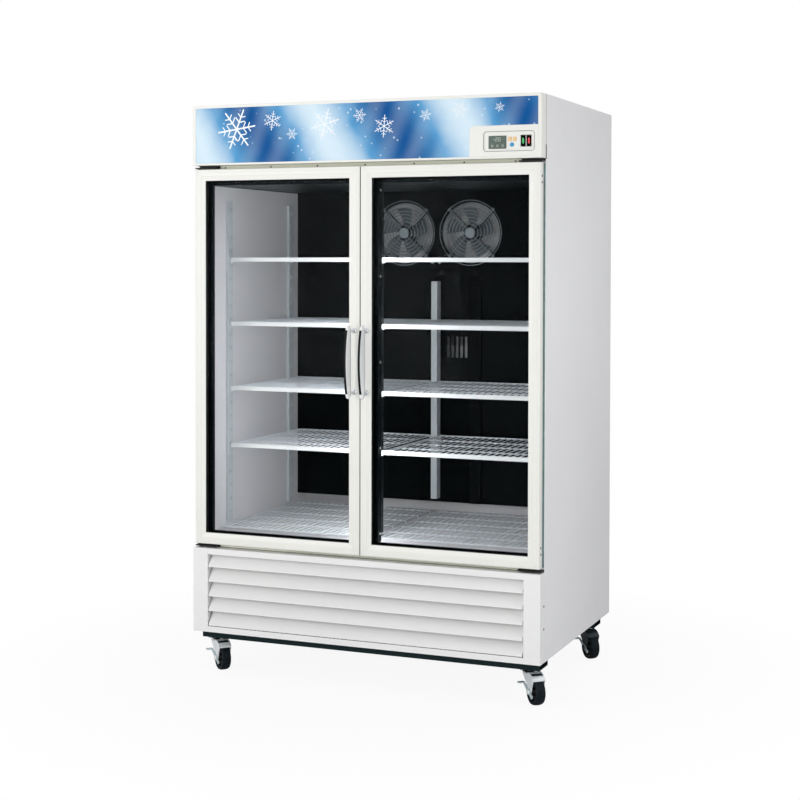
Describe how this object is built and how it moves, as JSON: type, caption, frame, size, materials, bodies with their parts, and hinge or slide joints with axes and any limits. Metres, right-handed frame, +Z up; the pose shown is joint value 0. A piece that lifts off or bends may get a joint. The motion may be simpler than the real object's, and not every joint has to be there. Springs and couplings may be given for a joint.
{
  "type": "two-door glass-front merchandiser freezer",
  "caption": "Upright ice freezer with hinged glass doors under a lit header, wire shelves, louvred base and swivel casters.",
  "frame": {"origin": "on the floor under the middle of the whole", "axes": "+Z up, -Y out of the front of the doors, +X to the viewer's right"},
  "size_m": [1.2989, 0.932, 2.009],
  "materials": {
    "cabinet_white": "satin powder coat",
    "galvanised": "satin",
    "foam": "matte",
    "liner_grey": "satin",
    "dark_trim": "matte",
    "header_white": "satin",
    "sign_print": "gloss",
    "lamp_tube": "gloss",
    "rail_black": "satin",
    "caster_zinc": "polished",
    "screw_white": "satin",
    "shelf_white": "satin",
    "standard_grey": "satin",
    "clip_white": "satin",
    "price_rail_white": "gloss",
    "fan_wire": "satin",
    "coil_aluminium": "satin",
    "machine_black": "satin",
    "machine_plastic": "matte",
    "gland_rubber": "matte",
    "door_white": "satin",
    "door_glass": "polished",
    "gasket_rubber": "matte",
    "handle_white": "satin",
    "fan_blade": "satin",
    "rocker_green": "gloss",
    "rocker_red": "gloss",
    "button_orange": "satin",
    "button_blue": "gloss",
    "fork_chrome": "polished",
    "wheel_rubber": "satin",
    "brake_steel": "satin"
  },
  "bodies": {
    "cabinet": {"left_side_panel": "cabinet_white", "right_side_panel": "cabinet_white", "top_panel": "cabinet_white", "back_panel": "galvanised", "insulation": "foam", "inner_liner": "liner_grey", "face_frame": "dark_trim", "centre_mullion": "dark_trim", "case_screws": "screw_white", "header_case": "header_white", "header_sign": "sign_print", "lamps": "lamp_tube", "control_bezel": "header_white", "control_panel": "header_white", "corner_posts": "cabinet_white", "louvre_grille": "cabinet_white", "base_rails": "rail_black", "base_pan": "galvanised", "caster_plates": "caster_zinc", "hinge_brackets": "galvanised", "shelf_standards": "standard_grey", "shelf_clips": "clip_white", "wire_shelves": "shelf_white", "price_rails": "price_rail_white", "duct_panel": "dark_trim", "fan_mounts": "fan_wire", "evaporator": "coil_aluminium", "compressor": "machine_black", "condenser": "machine_black", "condenser_shroud": "machine_plastic", "condensate_pan": "machine_plastic", "cord_gland": "gland_rubber"},
    "left_door": {"left_door_frame": "door_white", "left_door_glass": "door_glass", "left_door_gasket": "gasket_rubber", "left_door_handle": "handle_white"},
    "right_door": {"right_door_frame": "door_white", "right_door_glass": "door_glass", "right_door_gasket": "gasket_rubber", "right_door_handle": "handle_white"},
    "left_fan": {"left_fan": "fan_blade"},
    "right_fan": {"right_fan": "fan_blade"},
    "condenser_fan": {"condenser_fan": "fan_blade"},
    "green_rocker": {"green_rocker": "rocker_green"},
    "red_rocker": {"red_rocker": "rocker_red"},
    "left_square_button": {"left_square_button": "button_orange"},
    "right_square_button": {"right_square_button": "button_orange"},
    "round_button": {"round_button": "button_blue"},
    "front_left_fork": {"front_left_fork": "fork_chrome"},
    "front_left_wheel": {"front_left_wheel": "wheel_rubber"},
    "front_left_brake": {"front_left_brake": "brake_steel"},
    "front_right_fork": {"front_right_fork": "fork_chrome"},
    "front_right_wheel": {"front_right_wheel": "wheel_rubber"},
    "front_right_brake": {"front_right_brake": "brake_steel"},
    "rear_left_fork": {"rear_left_fork": "fork_chrome"},
    "rear_left_wheel": {"rear_left_wheel": "wheel_rubber"},
    "rear_left_brake": {"rear_left_brake": "brake_steel"},
    "rear_right_fork": {"rear_right_fork": "fork_chrome"},
    "rear_right_wheel": {"rear_right_wheel": "wheel_rubber"},
    "rear_right_brake": {"rear_right_brake": "brake_steel"}
  },
  "joints": [
    {"name": "left_door_hinge", "type": "hinge", "parent": "cabinet", "child": "left_door", "pos_m": [-0.63, -0.379, 1.123], "axis": [0, 0, -1], "range_deg": [0, 110]},
    {"name": "right_door_hinge", "type": "hinge", "parent": "cabinet", "child": "right_door", "pos_m": [0.63, -0.379, 1.123], "axis": [0, 0, 1], "range_deg": [0, 110]},
    {"name": "left_fan_spin", "type": "hinge", "parent": "cabinet", "child": "left_fan", "pos_m": [-0.135, 0.338, 1.571], "axis": [0, 1, 0], "continuous": true},
    {"name": "right_fan_spin", "type": "hinge", "parent": "cabinet", "child": "right_fan", "pos_m": [0.135, 0.338, 1.571], "axis": [0, 1, 0], "continuous": true},
    {"name": "condenser_fan_spin", "type": "hinge", "parent": "cabinet", "child": "condenser_fan", "pos_m": [-0.25, -0.266, 0.278], "axis": [0, 1, 0], "continuous": true},
    {"name": "green_rocker_tilt", "type": "hinge", "parent": "cabinet", "child": "green_rocker", "pos_m": [0.581, -0.395, 1.8545], "axis": [-1, 0, 0], "range_deg": [0, 12]},
    {"name": "red_rocker_tilt", "type": "hinge", "parent": "cabinet", "child": "red_rocker", "pos_m": [0.6005, -0.395, 1.8545], "axis": [-1, 0, 0], "range_deg": [0, 12]},
    {"name": "left_square_button_press", "type": "slide", "parent": "cabinet", "child": "left_square_button", "axis": [0, 1, 0], "range_m": [0, 0.0015], "stiffness_N_per_m": 400, "springref_m": -0.002},
    {"name": "right_square_button_press", "type": "slide", "parent": "cabinet", "child": "right_square_button", "axis": [0, 1, 0], "range_m": [0, 0.0015], "stiffness_N_per_m": 400, "springref_m": -0.002},
    {"name": "round_button_press", "type": "slide", "parent": "cabinet", "child": "round_button", "axis": [0, 1, 0], "range_m": [0, 0.0015], "stiffness_N_per_m": 400, "springref_m": -0.002},
    {"name": "front_left_swivel", "type": "hinge", "parent": "cabinet", "child": "front_left_fork", "pos_m": [-0.588, -0.316, 0.1], "axis": [0, 0, 1], "continuous": true},
    {"name": "front_left_roll", "type": "hinge", "parent": "front_left_fork", "child": "front_left_wheel", "pos_m": [-0.55932, -0.34093, 0.045], "axis": [0.6561, 0.7547, 0], "continuous": true},
    {"name": "front_left_brake_press", "type": "hinge", "parent": "front_left_fork", "child": "front_left_brake", "pos_m": [-0.55932, -0.34093, 0.045], "axis": [-0.6561, -0.7547, 0], "range_deg": [0, 14]},
    {"name": "front_right_swivel", "type": "hinge", "parent": "cabinet", "child": "front_right_fork", "pos_m": [0.588, -0.316, 0.1], "axis": [0, 0, 1], "continuous": true},
    {"name": "front_right_roll", "type": "hinge", "parent": "front_right_fork", "child": "front_right_wheel", "pos_m": [0.61343, -0.34424, 0.045], "axis": [0.7431, 0.6691, 0], "continuous": true},
    {"name": "front_right_brake_press", "type": "hinge", "parent": "front_right_fork", "child": "front_right_brake", "pos_m": [0.61343, -0.34424, 0.045], "axis": [-0.7431, -0.6691, 0], "range_deg": [0, 14]},
    {"name": "rear_left_swivel", "type": "hinge", "parent": "cabinet", "child": "rear_left_fork", "pos_m": [-0.588, 0.351, 0.1], "axis": [0, 0, 1], "continuous": true},
    {"name": "rear_left_roll", "type": "hinge", "parent": "rear_left_fork", "child": "rear_left_wheel", "pos_m": [-0.56257, 0.32276, 0.045], "axis": [0.7431, 0.6691, 0], "continuous": true},
    {"name": "rear_left_brake_press", "type": "hinge", "parent": "rear_left_fork", "child": "rear_left_brake", "pos_m": [-0.56257, 0.32276, 0.045], "axis": [-0.7431, -0.6691, 0], "range_deg": [0, 14]},
    {"name": "rear_right_swivel", "type": "hinge", "parent": "cabinet", "child": "rear_right_fork", "pos_m": [0.588, 0.351, 0.1], "axis": [0, 0, 1], "continuous": true},
    {"name": "rear_right_roll", "type": "hinge", "parent": "rear_right_fork", "child": "rear_right_wheel", "pos_m": [0.61343, 0.32276, 0.045], "axis": [0.7431, 0.6691, 0], "continuous": true},
    {"name": "rear_right_brake_press", "type": "hinge", "parent": "rear_right_fork", "child": "rear_right_brake", "pos_m": [0.61343, 0.32276, 0.045], "axis": [-0.7431, -0.6691, 0], "range_deg": [0, 14]}
  ]
}
